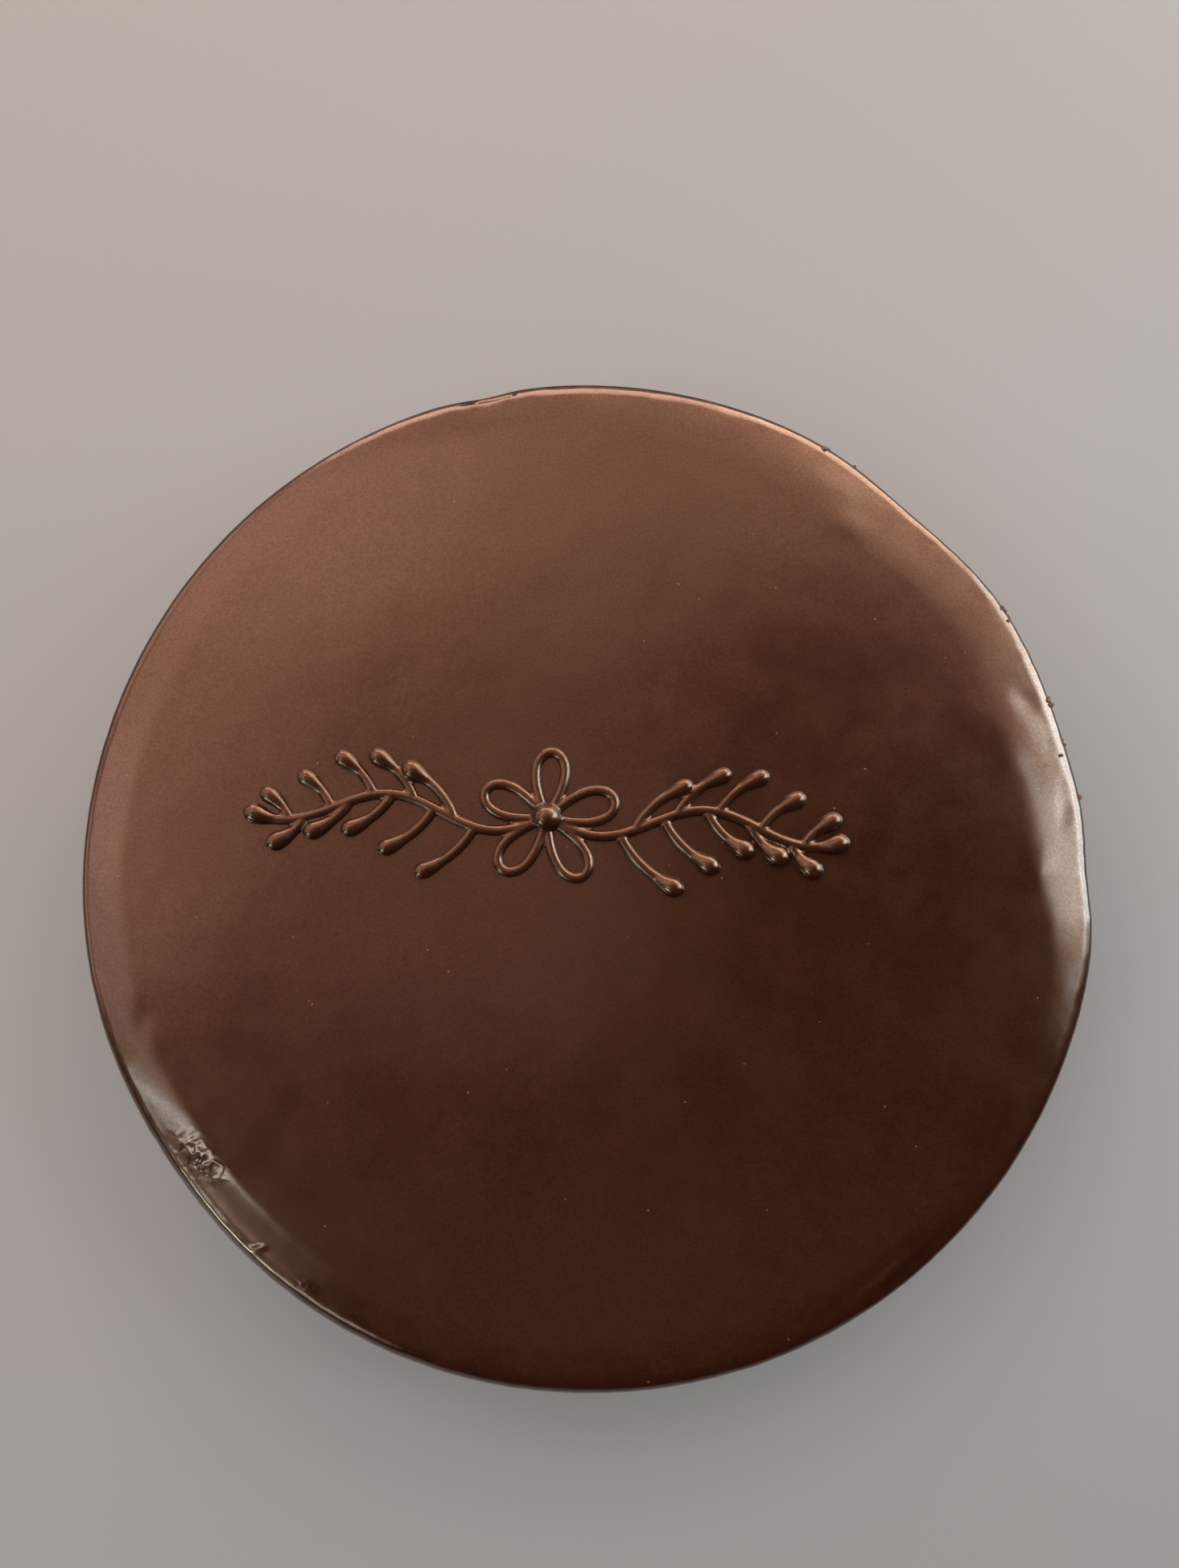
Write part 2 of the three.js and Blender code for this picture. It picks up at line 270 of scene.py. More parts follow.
def corner_at(azimuth):
    """Reach and fall of the rounded corner."""
    return swollen_at(azimuth, PLAIN_CORNER, CORNER_SWELLS)


def bevel_fall(into):
    """The share of the bevel's drop at a share of the way out across it: level, then a crease and a slope."""
    soft = BEVEL_CREASE
    return (np.sqrt(into**2 + soft**2) - soft) / (math.sqrt(1 + soft**2) - soft)


def corner_start(azimuth):
    """How far round its quarter of an ellipse the corner starts, for the top to meet it without a kink."""
    width, drop = bevel_at(azimuth)
    reach, fall = corner_at(azimuth)
    step = 0.01
    steepness = (bevel_fall(1) - bevel_fall(1 - step)) / step
    return np.arctan(steepness * drop / width * reach / fall)


def top_radius(azimuth):
    """Where the top ends and the rounded corner begins."""
    return outline_radius(azimuth) - corner_at(azimuth)[0] * (1 - np.sin(corner_start(azimuth)))


def top_height(x, y):
    """Height of the glazed top over a point of the floor."""
    azimuth = np.arctan2(y, x)
    width, drop = bevel_at(azimuth)
    into_bevel = np.clip(1 - (top_radius(azimuth) - np.hypot(x, y)) / width, 0, None)
    relief = sum(s["rise"] * hump(np.hypot(x - s["x"], y - s["y"]), s["spread"]) for s in TOP_SWELLS)
    return TORTE_HEIGHT + relief - drop * bevel_fall(into_bevel)


def run_wave(azimuth):
    """Depth of the upright waves at an azimuth, about -1 to 1."""
    return sum(run["share"] * np.sin(run["count"] * azimuth + run["phase"]) for run in WALL_RUNS)


def wall_radius(azimuth, down):
    """The wall's radius, down as a share of the way from the corner to the foot."""
    return outline_radius(azimuth) + RUN_DEPTH * run_wave(azimuth) * down


def profile(zone, azimuth, t):
    """Radius and height of the glaze at a station t, from 0 to 1, of one zone of the profile."""
    if zone == "base":
        return profile("foot", azimuth, 0)[0] * t, np.zeros_like(azimuth)
    if zone == "foot":
        above_bulge = (t - FOOT_BULGE_AT) / (1 - FOOT_BULGE_AT)
        spread = FOOT_SPREAD * (1 + FOOT_WAVE * run_wave(azimuth))
        bulge = spread * math.cos(above_bulge * math.pi / 2) ** 2
        tuck = FOOT_TUCK * max(0, 1 - t / FOOT_BULGE_AT) ** 2
        return wall_radius(azimuth, 1) + bulge - tuck, np.full_like(azimuth, FOOT_HEIGHT * t)
    if zone == "wall":
        shoulder = profile("corner", azimuth, 0)[1]
        return wall_radius(azimuth, 1 - t), FOOT_HEIGHT + (shoulder - FOOT_HEIGHT) * t
    if zone == "corner":
        reach, fall = corner_at(azimuth)
        start, radius = corner_start(azimuth), top_radius(azimuth)
        level = top_height(radius * np.cos(azimuth), radius * np.sin(azimuth))
        turned = math.pi / 2 + (start - math.pi / 2) * t
        return (
            outline_radius(azimuth) - reach * (1 - np.sin(turned)),
            level - fall * (np.cos(start) - np.cos(turned)),
        )
    radius = top_radius(azimuth) * (1 - t)
    return radius, top_height(radius * np.cos(azimuth), radius * np.sin(azimuth))


# ---- The marks ----


def over_mark(mark, azimuth, inset):
    """Distances from the middle of a mark, along it and across it, as shares of its length and width."""
    along = apart(azimuth, mark["azimuth"]) * WALL_RADIUS
    across = inset - mark["inset"]
    turn = math.radians(mark["turn"])
    return (
        (along * math.cos(turn) + across * math.sin(turn)) / mark["length"],
        (across * math.cos(turn) - along * math.sin(turn)) / mark["width"],
    )


def smooth_step(value, low, high):
    """0 below the low value and 1 above the high one, with a soft way between them."""
    t = np.clip((value - low) / (high - low), 0, 1)
    return t * t * (3 - 2 * t)


def scattered(column, row, seed):
    """A repeatable share from 0 to 1 for each cell of a grid."""
    return np.sin(12.9898 * column + 78.233 * row + 37.719 * seed) * 43758.5453 % 1


def crumpled(along, across, spacing):
    """A crumpled skin: 0 in the hollows, rising to 1 on sharp folds that run between uneven cells."""
    u, v = along / spacing, across / spacing
    nearest, second = np.full_like(u, 9), np.full_like(u, 9)
    for beside in (-1, 0, 1):
        for above in (-1, 0, 1):
            column, row = np.floor(u) + beside, np.floor(v) + above
            away = np.hypot(column + scattered(column, row, 1) - u, row + scattered(column, row, 2) - v)
            second = np.minimum(second, np.maximum(nearest, away))
            nearest = np.minimum(nearest, away)
    return 1 - np.clip((second - nearest) / FOLD_WIDTH, 0, 1)


def in_crinkles(azimuth, inset):
    """How much a point belongs to a crinkled patch, from 0 to 1."""
    shares = [hump(np.hypot(*over_mark(patch, azimuth, inset)), CRINKLED_REACH) for patch in CRINKLES]
    return np.max(shares, axis=0)


def ledge_depth(azimuth, inset):
    """How far the glaze has slipped down at the ledge."""
    past_start = np.degrees(apart(azimuth, LEDGE["from"]))
    before_stop = np.degrees(-apart(azimuth, LEDGE["to"]))
    inside = smooth_step(past_start, 0, LEDGE["start"]) * smooth_step(before_stop, 0, LEDGE["stop"])
    further_in = smooth_step(inset, LEDGE["width"] - LEDGE["outward"], LEDGE["width"] + LEDGE["inward"])
    return LEDGE["depth"] * inside * (1 - further_in)


def mark_relief(azimuth, inset):
    """Height of the dents, ridges and crinkles near the rim, less the depth of the ledge."""
    relief = np.zeros_like(azimuth)
    for mark in RIM_MARKS:
        along, across = over_mark(mark, azimuth, inset)
        relief += mark["rise"] * hump(np.hypot(along, across), 1)
    for patch in CRINKLES:
        along, across = over_mark(patch, azimuth, inset)
        inside = hump(np.hypot(along, across), 1)
        folds = crumpled(along * patch["length"], across * patch["width"], patch["spacing"])
        relief += patch["rise"] * inside * folds
    return relief - ledge_depth(azimuth, inset)


# ---- Meshes ----


def column_azimuths():
    """The azimuths of the rim's columns, closer together where the rim has fine marks."""
    fine = np.linspace(0, FULL_TURN, FINE_AZIMUTHS)
    crowding = 1 + sum(crowd["rise"] * hump_at(fine, crowd) for crowd in COLUMN_CROWDS)
    steps = (crowding[1:] + crowding[:-1]) / 2
    passed = np.concatenate(([0], np.cumsum(steps))) / steps.sum()
    return np.interp(np.arange(COLUMNS) / COLUMNS, passed, fine)


def shell_rings():
    """Every ring of the glaze from below: zone, station, and how many columns apart its points are."""
    rings = []
    for zone, count in SHELL_RINGS.items():
        stations = np.linspace(0, 1, count + 1)
        if zone == "top":
            stations = np.interp(np.arange(count + 1), (0, RIM_BAND_RINGS, count), (0, RIM_BAND, 1))
        for station in stations[1 if rings else 0:]:
            radius = WALL_RADIUS * {"base": station, "top": 1 - station}.get(zone, 1)
            skip = 2 ** sum(radius < limit for limit in HALVING_RADII)
            rings.append((zone, station, skip))
    return rings


def strip_between(low, high):
    """Faces between two rings of vertex indices that are equally long, or of which one is twice as long."""
    count = max(len(low), len(high))
    faces = []
    for i in range(count):
        after = (i + 1) % count
        if len(low) == len(high):
            faces.append((low[i], low[after], high[after], high[i]))
            continue
        coarse_is_high = len(low) > len(high)
        fine, coarse = (low, high) if coarse_is_high else (high, low)
        here, there = coarse[i // 2], coarse[(i // 2 + 1) % len(coarse)]
        face = [(fine[i], fine[after], here if i % 2 == 0 else there)]
        if i % 2 == 1:
            face.append((here, fine[i], there))
        faces += face if coarse_is_high else [corners[::-1] for corners in face]
    return faces


def glaze_mesh():
    """The whole closed shell of glaze, with how much each point is top, wall, rim, crinkled and smudged."""
    azimuths = column_azimuths()
    points, faces, previous = [], [], None
    at_top, at_wall, at_rim, crinkled, made = [], [], [], [], 0
    for zone, station, skip in shell_rings():
        azimuth = azimuths[::skip]
        radius, height = profile(zone, azimuth, station)
        pole = radius.max() < POLE_RADIUS
        if pole:
            azimuth, radius, height = azimuth[:1], radius[:1], height[:1]
        inset = outline_radius(azimuth) - radius
        is_upper = zone in ("corner", "top")
        relief = mark_relief(azimuth, inset) if is_upper else np.zeros_like(azimuth)
        lean = math.pi / 2 * (1 - station) if zone == "corner" else 0
        radius = radius + relief * math.sin(lean)
        height = height + relief * math.cos(lean)
        points.append(np.column_stack((radius * np.cos(azimuth), radius * np.sin(azimuth), height)))
        at_top += [{"corner": station, "top": 1}.get(zone, 0)] * len(azimuth)
        of_wall = {"wall": math.sin(math.pi * station), "foot": station * FOOT_SHARE}.get(zone, 0)
        at_wall += [of_wall] * len(azimuth)
        at_rim += list(hump(inset, RIM_UNEVENNESS_WIDTH)) if is_upper else [0] * len(azimuth)
        crinkled += list(in_crinkles(azimuth, inset)) if is_upper else [0] * len(azimuth)
        ring = list(range(made, made + len(azimuth)))
        made += len(azimuth)
        if previous is not None:
            if len(previous) == 1:
                faces += [(previous[0], ring[i - 1], ring[i])[::-1] for i in range(len(ring))]
            elif pole:
                faces += [(previous[i - 1], previous[i], ring[0]) for i in range(len(previous))]
            else:
                faces += strip_between(previous, ring)
        previous = ring
    mesh = bpy.data.meshes.new("poured_glaze")
    coordinates = np.concatenate(points)
    mesh.from_pydata(coordinates * MM, [], faces)
    smudge = sum(
        hump(np.hypot(coordinates[:, 0] - spot["x"], coordinates[:, 1] - spot["y"]), spot["spread"])
        for spot in SMUDGES
    ) * (coordinates[:, 2] > FOOT_HEIGHT)
    shares = {"at_top": at_top, "at_wall": at_wall, "at_rim": at_rim, "crinkled": crinkled, "smudge": smudge}
    for name, values in shares.items():
        mesh.attributes.new(name, "FLOAT", "POINT").data.foreach_set("value", np.asarray(values, np.float32))
    mesh.polygons.foreach_set("use_smooth", [True] * len(mesh.polygons))
    return mesh


def link(name, data):
    """A new object of the scene that holds this data."""
    made = bpy.data.objects.new(name, data)
    bpy.context.scene.collection.objects.link(made)
    return made


def settled(source, name):
    """The evaluated object as a new one with a plain mesh and no empty slots; the source is removed."""
    graph = bpy.context.evaluated_depsgraph_get()
    evaluated = source.evaluated_get(graph)
    mesh = bpy.data.meshes.new_from_object(evaluated, preserve_all_data_layers=True, depsgraph=graph)
    bpy.data.objects.remove(source)
    for slot in reversed(range(len(mesh.materials))):
        if mesh.materials[slot] is None:
            mesh.materials.pop(index=slot)
    mesh.name = name
    return link(name, mesh)


# ---- Node trees ----


class Nodes:
    """Adds nodes to a tree. A value given for a socket is linked if it is a socket, and set if it isn't."""

    def __init__(self, tree):
        self.tree = tree

    def add(self, kind, values=None, **settings):
        node = self.tree.nodes.new(kind)
        for name, setting in settings.items():
            setattr(node, name, setting)
        for socket, value in (values or {}).items():
            self.give(node.inputs[socket], value)
        return node

    def give(self, socket, value):
        if isinstance(value, bpy.types.NodeSocket):
            self.tree.links.new(value, socket)
        else:
            socket.default_value = value

    def math(self, operation, first, second=0.0):
        return self.add("ShaderNodeMath", {0: first, 1: second}, operation=operation).outputs[0]

    def vector(self, operation, first, second=None, scale=None):
        values = {0: first}
        if second is not None:
            values[1] = second
        if scale is not None:
            values["Scale"] = scale
        return self.add("ShaderNodeVectorMath", values, operation=operation).outputs[0]


def shape_tree(name, sockets):
    """A Geometry Nodes tree with its named inputs, and the nodes to fill it with."""
    tree = bpy.data.node_groups.new(name, "GeometryNodeTree")
    tree.interface.new_socket("Geometry", in_out="INPUT", socket_type="NodeSocketGeometry")
    for label, (kind, value) in sockets.items():
        socket = tree.interface.new_socket(label, in_out="INPUT", socket_type=f"NodeSocket{kind}")
        if value is not None:
            socket.default_value = value
    tree.interface.new_socket("Geometry", in_out="OUTPUT", socket_type="NodeSocketGeometry")
    nodes = Nodes(tree)
    return tree, nodes, nodes.add("NodeGroupInput").outputs


def end_shape_tree(nodes, geometry, material):
    """The last steps of every shape tree: real geometry, its material, and out."""
    real = nodes.add("GeometryNodeRealizeInstances", {"Geometry": geometry}).outputs[0]
    coated = nodes.add("GeometryNodeSetMaterial", {"Geometry": real, "Material": material}).outputs[0]
    nodes.add("NodeGroupOutput", {"Geometry": coated})


def run_tree(thing, tree, values):
    """Puts a tree on an object as a modifier, with values for its named inputs."""
    modifier = thing.modifiers.new(tree.name, "NODES")
    modifier.node_group = tree
    sockets = {s.name: s.identifier for s in tree.interface.items_tree if s.in_out == "INPUT"}
    for label, value in values.items():
        modifier[sockets[label]] = value


def hand_spread_tree():
    """Unevenness of glaze that was poured and spread by hand, laid over a shell along its normals."""
    tree, nodes, given = shape_tree(
        "hand_spread_glaze",
        {
            "Swell Height": ("Float", 0.2 * MM),
            "Swell Size": ("Float", 34 * MM),
            "Ripple Height": ("Float", 0.055 * MM),
            "Ripple Size": ("Float", 9 * MM),
            "Rim Height": ("Float", 0.12 * MM),
            "Rim Size": ("Float", 3.5 * MM),
            "Run Height": ("Float", 0.25 * MM),
            "Run Width": ("Float", 11 * MM),
            "Seed": ("Float", 0.0),
            "Material": ("Material", None),
        },
    )
    place = nodes.add("GeometryNodeInputPosition").outputs[0]
    normal = nodes.add("GeometryNodeInputNormal").outputs[0]

    def wave(position, size, height, share):
        scaled = nodes.vector("SCALE", position, scale=nodes.math("DIVIDE", 1.0, size))
        noise = nodes.add(
            "ShaderNodeTexNoise",
            {"Vector": scaled, "W": given["Seed"], "Scale": 1.0, "Detail": 1.5, "Roughness": 0.4},
            noise_dimensions="4D",
        ).outputs[0]
        centred = nodes.math("MULTIPLY", nodes.math("SUBTRACT", noise, 0.5), 2.0)
        return nodes.math("MULTIPLY", nodes.math("MULTIPLY", centred, height), share)

    def share_of(name):
        return nodes.add("GeometryNodeInputNamedAttribute", {"Name": name}, data_type="FLOAT").outputs[0]

    upright = nodes.vector("MULTIPLY", place, (1.0, 1.0, RUN_STRETCH))
    swells = wave(place, given["Swell Size"], given["Swell Height"], share_of("at_top"))
    ripples = wave(place, given["Ripple Size"], given["Ripple Height"], share_of("at_top"))
    runs = wave(upright, given["Run Width"], given["Run Height"], share_of("at_wall"))
    lumps = wave(place, given["Rim Size"], given["Rim Height"], share_of("at_rim"))
    total = nodes.math("ADD", nodes.math("ADD", swells, ripples), nodes.math("ADD", runs, lumps))
    moved = nodes.add(
        "GeometryNodeSetPosition",
        {"Geometry": given["Geometry"], "Offset": nodes.vector("SCALE", normal, scale=total)},
    ).outputs[0]
    end_shape_tree(nodes, moved, given["Material"])
    return tree


def piped_line_tree():
    """A bead of chocolate along each line: the line's own radius is half its width."""
    tree, nodes, given = shape_tree(
        "piped_line",
        {
            "Sides": ("Int", 20),
            "Sink": ("Float", LINE_SINK),
            "Rise": ("Float", LINE_RISE),
            "Waver": ("Float", 0.08 * MM),
            "Waver Size": ("Float", 2.5 * MM),
            "Seed": ("Float", 0.0),
            "Material": ("Material", None),
        },
    )
    radius = nodes.add("GeometryNodeInputRadius").outputs[0]
    height = nodes.math("MULTIPLY", nodes.math("ADD", given["Rise"], given["Sink"]), 0.5)
    middle = nodes.math("MULTIPLY", nodes.math("SUBTRACT", given["Rise"], given["Sink"]), 0.5)
    lift = nodes.add("ShaderNodeCombineXYZ", {"Z": nodes.math("MULTIPLY", radius, middle)}).outputs[0]
    lifted = nodes.add(
        "GeometryNodeSetPosition", {"Geometry": given["Geometry"], "Offset": lift}
    ).outputs[0]
    upright = nodes.add("GeometryNodeSetCurveNormal", {"Curve": lifted}, mode="Z_UP").outputs[0]
    circle = nodes.add(
        "GeometryNodeCurvePrimitiveCircle", {"Resolution": given["Sides"], "Radius": 1.0}, mode="RADIUS"
    ).outputs[0]
    flatness = nodes.add("ShaderNodeCombineXYZ", {"X": 1.0, "Y": height, "Z": 1.0}).outputs[0]
    section = nodes.add("GeometryNodeTransform", {"Geometry": circle, "Scale": flatness}).outputs[0]
    bead = nodes.add(
        "GeometryNodeCurveToMesh",
        {"Curve": upright, "Profile Curve": section, "Scale": radius, "Fill Caps": True},
    ).outputs[0]
    noise = nodes.add(
        "ShaderNodeTexNoise",
        {
            "Vector": nodes.vector(
                "SCALE",
                nodes.add("GeometryNodeInputPosition").outputs[0],
                scale=nodes.math("DIVIDE", 1.0, given["Waver Size"]),
            ),
            "W": given["Seed"],
            "Scale": 1.0,
            "Detail": 1.0,
        },
        noise_dimensions="4D",
    ).outputs[1]
    waver = nodes.vector("SCALE", nodes.vector("SUBTRACT", noise, (0.5, 0.5, 0.5)), scale=given["Waver"])
    moved = nodes.add("GeometryNodeSetPosition", {"Geometry": bead, "Offset": waver}).outputs[0]
    end_shape_tree(nodes, moved, given["Material"])
    return tree


def scatter_tree():
    """Small uneven grains on a surface, as many as its "grains" attribute asks for."""
    tree, nodes, given = shape_tree(
        "scattered_grains",
        {
            "Per Square Metre": ("Float", 1000.0),
            "Smallest": ("Float", 0.3 * MM),
            "Largest": ("Float", 1.0 * MM),
            "Flatness": ("Float", 1.0),
            "Raggedness": ("Float", 0.35),
            "Seed": ("Int", 0),
            "Material": ("Material", None),
        },
    )
    wanted = nodes.add("GeometryNodeInputNamedAttribute", {"Name": "grains"}, data_type="FLOAT").outputs[0]
    spread = nodes.add(
        "GeometryNodeDistributePointsOnFaces",
        {
            "Mesh": given["Geometry"],
            "Density": nodes.math("MULTIPLY", wanted, given["Per Square Metre"]),
            "Seed": given["Seed"],
        },
    )
    ball = nodes.add("GeometryNodeMeshIcoSphere", {"Radius": 1.0, "Subdivisions": 2}).outputs[0]
    size = nodes.add(
        "FunctionNodeRandomValue",
        {"Min": given["Smallest"], "Max": given["Largest"], "Seed": given["Seed"]},
        data_type="FLOAT",
    )
    sizes = [s for s in size.outputs if s.enabled][0]
    squashed = nodes.add("ShaderNodeCombineXYZ", {"X": 1.0, "Y": 1.0, "Z": given["Flatness"]}).outputs[0]
    placed = nodes.add(
        "GeometryNodeInstanceOnPoints",
        {
            "Points": spread.outputs["Points"],
            "Instance": ball,
            "Rotation": spread.outputs["Rotation"],
            "Scale": nodes.vector("SCALE", squashed, scale=sizes),
        },
    ).outputs[0]
    real = nodes.add("GeometryNodeRealizeInstances", {"Geometry": placed}).outputs[0]
    noise = nodes.add(
        "ShaderNodeTexNoise",
        {
            "Vector": nodes.vector(
                "SCALE",
                nodes.add("GeometryNodeInputPosition").outputs[0],
                scale=nodes.math("DIVIDE", 0.8, given["Largest"]),
            ),
            "Scale": 1.0,
            "Detail": 2.0,
        },
    ).outputs[1]
    push = nodes.vector(
        "SCALE",
        nodes.vector("SUBTRACT", noise, (0.5, 0.5, 0.5)),
        scale=nodes.math("MULTIPLY", given["Raggedness"], nodes.math("MULTIPLY", given["Largest"], 4.0)),
    )
    ragged = nodes.add("GeometryNodeSetPosition", {"Geometry": real, "Offset": push}).outputs[0]
    end_shape_tree(nodes, ragged, given["Material"])
    return tree


# ---- The piped ornament's lines ----
# They are drawn in their own plane, u along the band from its middle and v up: a blossom between two leafy
# sprigs that mirror each other.

# How far the hand strays: a leaf's foot in millimetres, a petal's heading in radians, and the rest in shares.
STRAY = {"foot": 0.5, "length": 0.05, "lean": 0.06, "heading": math.radians(2), "petal": 0.04, "drop": 0.1}


def by_hand(seed):
    """A small repeatable difference between pieces that a hand has piped, from -1 to 1."""
    return math.sin(12.9898 * seed + 4.1)


def stem_path(t):
    """The gently waving stem of one sprig, from the middle of the blossom."""
    u = BAND_LENGTH / 2 * t
    return u, -STEM_SWAY * np.sin(FULL_TURN * u / STEM_WAVE)


def leaf_path(pair, up, hand):
    """A leaf that parts from the stem and bends towards the sprig's tip, where leaves are shorter."""
    share = pair / (LEAF_PAIRS - 1)
    stagger = 0 if up > 0 else LEAF_STAGGER
    foot_u = FIRST_LEAF + (LAST_LEAF - FIRST_LEAF) * share - stagger + STRAY["foot"] * by_hand(hand)
    foot_v = stem_path(foot_u / (BAND_LENGTH / 2))[1]
    reach = LONGEST_LEAF + (SHORTEST_LEAF - LONGEST_LEAF) * share
    reach = reach * (1 + STRAY["length"] * by_hand(hand + 3))
    lean = LEAF_LEAN + STRAY["lean"] * by_hand(hand + 5)

    def path(t):
        u = foot_u + reach * (lean * t + LEAF_SWEEP * t**2)
        return u, foot_v + up * reach * (LEAF_RISE * t - LEAF_DROOP * t**2)

    return path


def petal_path(petal):
    """A petal of the blossom: a narrow loop out from its middle and back."""
    heading = math.pi / 2 + FULL_TURN * petal / PETALS + STRAY["heading"] * by_hand(petal)
    reach = PETAL_REACH * (1 + STRAY["petal"] * by_hand(petal + 2))

    def path(t):
        radius, angle = reach * np.sin(math.pi * t), heading + PETAL_SPREAD * np.cos(math.pi * t)
        return radius * np.cos(angle), radius * np.sin(angle)

    return path


def middle_path(t):
    """The round drop in the middle of the blossom."""
    return MIDDLE_DROP * (2 * t - 1), np.zeros_like(t)


def ornament_strokes():
    """Every line of the ornament: its path, its side, and half the width of its start and its end."""
    strokes = []
    for side in (-1, 1):
        strokes.append((stem_path, side, LINE_RADIUS, BULB_RADIUS))
        for pair in range(LEAF_PAIRS):
            for up in (-1, 1):
                hand = pair + 10 * side + 5 * up
                drop = BULB_RADIUS * (LEAF_DROP + STRAY["drop"] * by_hand(hand + 1))
                strokes.append((leaf_path(pair, up, hand), side, LINE_RADIUS, drop))
    strokes += [(petal_path(petal), 1, LINE_RADIUS, LINE_RADIUS) for petal in range(PETALS)]
    strokes.append((middle_path, 1, MIDDLE_DROP, MIDDLE_DROP))
    return strokes


def line_radius(along, length, start, end):
    """Half the width of a piped line, with its round ends and its drops, at distances along it."""

    def swollen(distance, bulb):
        t = np.clip((distance - bulb) / BULB_TAPER, 0, 1)
        return bulb + (LINE_RADIUS - bulb) * t * t * (3 - 2 * t)

    def rounded(distance, bulb):
        into_end = np.clip(1 - distance / bulb, 0, 1)
        return np.where(into_end > 0, bulb * np.sqrt(1 - into_end**2), np.inf)

    left = length - along
    line = np.maximum(swollen(along, start), swollen(left, end))
    return np.minimum(np.minimum(line, rounded(along, start)), rounded(left, end))


def ornament_lines():
    """The ornament's lines as one curve, each point with half the width of its line."""
    curve = bpy.data.curves.new("ornament_lines", "CURVE")
    curve.dimensions = "3D"
    for path, side, start, end in ornament_strokes():
        u, v = (np.asarray(part) for part in path(np.linspace(0, 1, PATH_SAMPLES)))
        u = u * side
        passed = np.concatenate(([0], np.cumsum(np.hypot(np.diff(u), np.diff(v)))))
        length = passed[-1]
        crowded = 0.5 - 0.5 * np.cos(np.linspace(0, math.pi, int(length / LINE_STEP) + FEWEST_POINTS))
        even = np.linspace(0, 1, len(crowded))
        along = length * ((1 - END_CROWDING) * even + END_CROWDING * crowded)
        u, v = np.interp(along, passed, u), np.interp(along, passed, v)
        x = BAND_CENTRE[0] + u * math.cos(BAND_TILT) - v * math.sin(BAND_TILT)
        y = BAND_CENTRE[1] + u * math.sin(BAND_TILT) + v * math.cos(BAND_TILT)
        spline = curve.splines.new("POLY")
        spline.points.add(len(along) - 1)
        places = np.column_stack((x * MM, y * MM, top_height(x, y) * MM, np.ones_like(x)))
        spline.points.foreach_set("co", places.ravel())
        radii = np.maximum(line_radius(along, length, start, end), LEAST_RADIUS) * MM
        spline.points.foreach_set("radius", radii)
    return curve


# ---- Finishes ----

DARK_CHOCOLATE = (0.0118, 0.0029, 0.0013, 1)
LIGHT_CHOCOLATE = (0.0205, 0.0053, 0.0025, 1)
# DEEP_CHOCOLATE darkens the soft dark spots, and is also the painted shade in the pinholes
DEEP_CHOCOLATE = (0.0070, 0.0019, 0.0008, 1)
PALE_SPECK = (0.1500, 0.0750, 0.0500, 1)
DARK_CRUMB = (0.02, 0.006, 0.003, 1)
PALE_CRUMB = (0.20, 0.075, 0.03, 1)
CRUMB_ROUGHNESS = 0.9
CRUMB_TONE_SIZE = 0.8
CRUMB_PORE_SIZE = 0.3
CRUMB_PORE_DEPTH = 0.1
CHOCOLATE_SHEEN = (1.0, 0.45, 0.21, 1.0)
CHOCOLATE_IOR = 1.5
COAT_ROUGHNESS = 0.15

# The tones that shift the glaze from dark to light: how large each is, and how much it counts.
CLOUD_SIZE, CLOUD_SHARE = 26, 0.2
MOTTLE_SIZE, MOTTLE_SHARE = 3.2, 0.25
GRAIN_SIZE, GRAIN_SHARE = 0.6, 0.55
SMUDGE_SHARE = 0.5

WEAR_SIZE = 12  # of the duller and the glossier areas
CRINKLED_GLOSS = 0.55  # how much less rough a crinkled patch is
SPARKLE_SIZE, SPARKLE_RANGE = 0.5, (0.40, 0.60)
BROAD_BUMP_SIZE = 2.4
FINE_BUMP_SIZE, FINE_BUMP_SHARE = 0.45, 0.35

SPECK_SPACING = 4.2
SPECK_RADII = (0.03, 0.075)  # whole inside the first and gone outside the second, as shares of the spacing
# A pinhole is sunk by the bump and also darkened in colour: that darkening is painted shade in its hollow.
CRYSTALS_FROM = 0.80  # a speck is a pale crystal where its first number is above this,
PITS_FROM = 0.88  # and a pinhole where its second number is above this
NUMBER_STEP = 0.01
CRYSTAL_SHARE = 0.6  # how much of the pale colour shows
PIT_DEPTH = 6.0  # beside the depth of the grain


def finish_nodes(name):
    """A new material, its nodes, its main shader and a place in millimetres on the piece."""
    material = bpy.data.materials.new(name)
    material.use_nodes = True
    nodes = Nodes(material.node_tree)
    shader = material.node_tree.nodes["Principled BSDF"]
    place = nodes.add("ShaderNodeTexCoord").outputs["Object"]
    return material, nodes, shader, nodes.vector("SCALE", place, scale=1 / MM)


def grain(nodes, place, size, detail=2.0):
    """Noise whose features are about this many millimetres across."""
    return nodes.add("ShaderNodeTexNoise", {"Vector": place, "Scale": 1 / size, "Detail": detail}).outputs[0]


def between(nodes, value, low, high, start=0.3, stop=0.7):
    """What lies between low and high, softly, where a value such as noise lies between start and stop."""
    return nodes.add(
        "ShaderNodeMapRange",
        {"Value": value, "From Min": start, "From Max": stop, "To Min": low, "To Max": high},
        interpolation_type="SMOOTHSTEP",
    ).outputs[0]


def mixed(nodes, share, first, second):
    """One colour going over into another."""
    mix = nodes.add("ShaderNodeMix", data_type="RGBA")
    for socket, value in (("Factor_Float", share), ("A_Color", first), ("B_Color", second)):
        target = next(s for s in mix.inputs if s.identifier == socket)
        nodes.give(target, value)
    return next(s for s in mix.outputs if s.identifier == "Result_Color")


def bumped(nodes, depth, relief):
    """Normals tilted by a relief, of which a value of one stands this many millimetres deep."""
    return nodes.add("ShaderNodeBump", {"Strength": 1.0, "Distance": depth * MM, "Height": relief}).outputs[0]


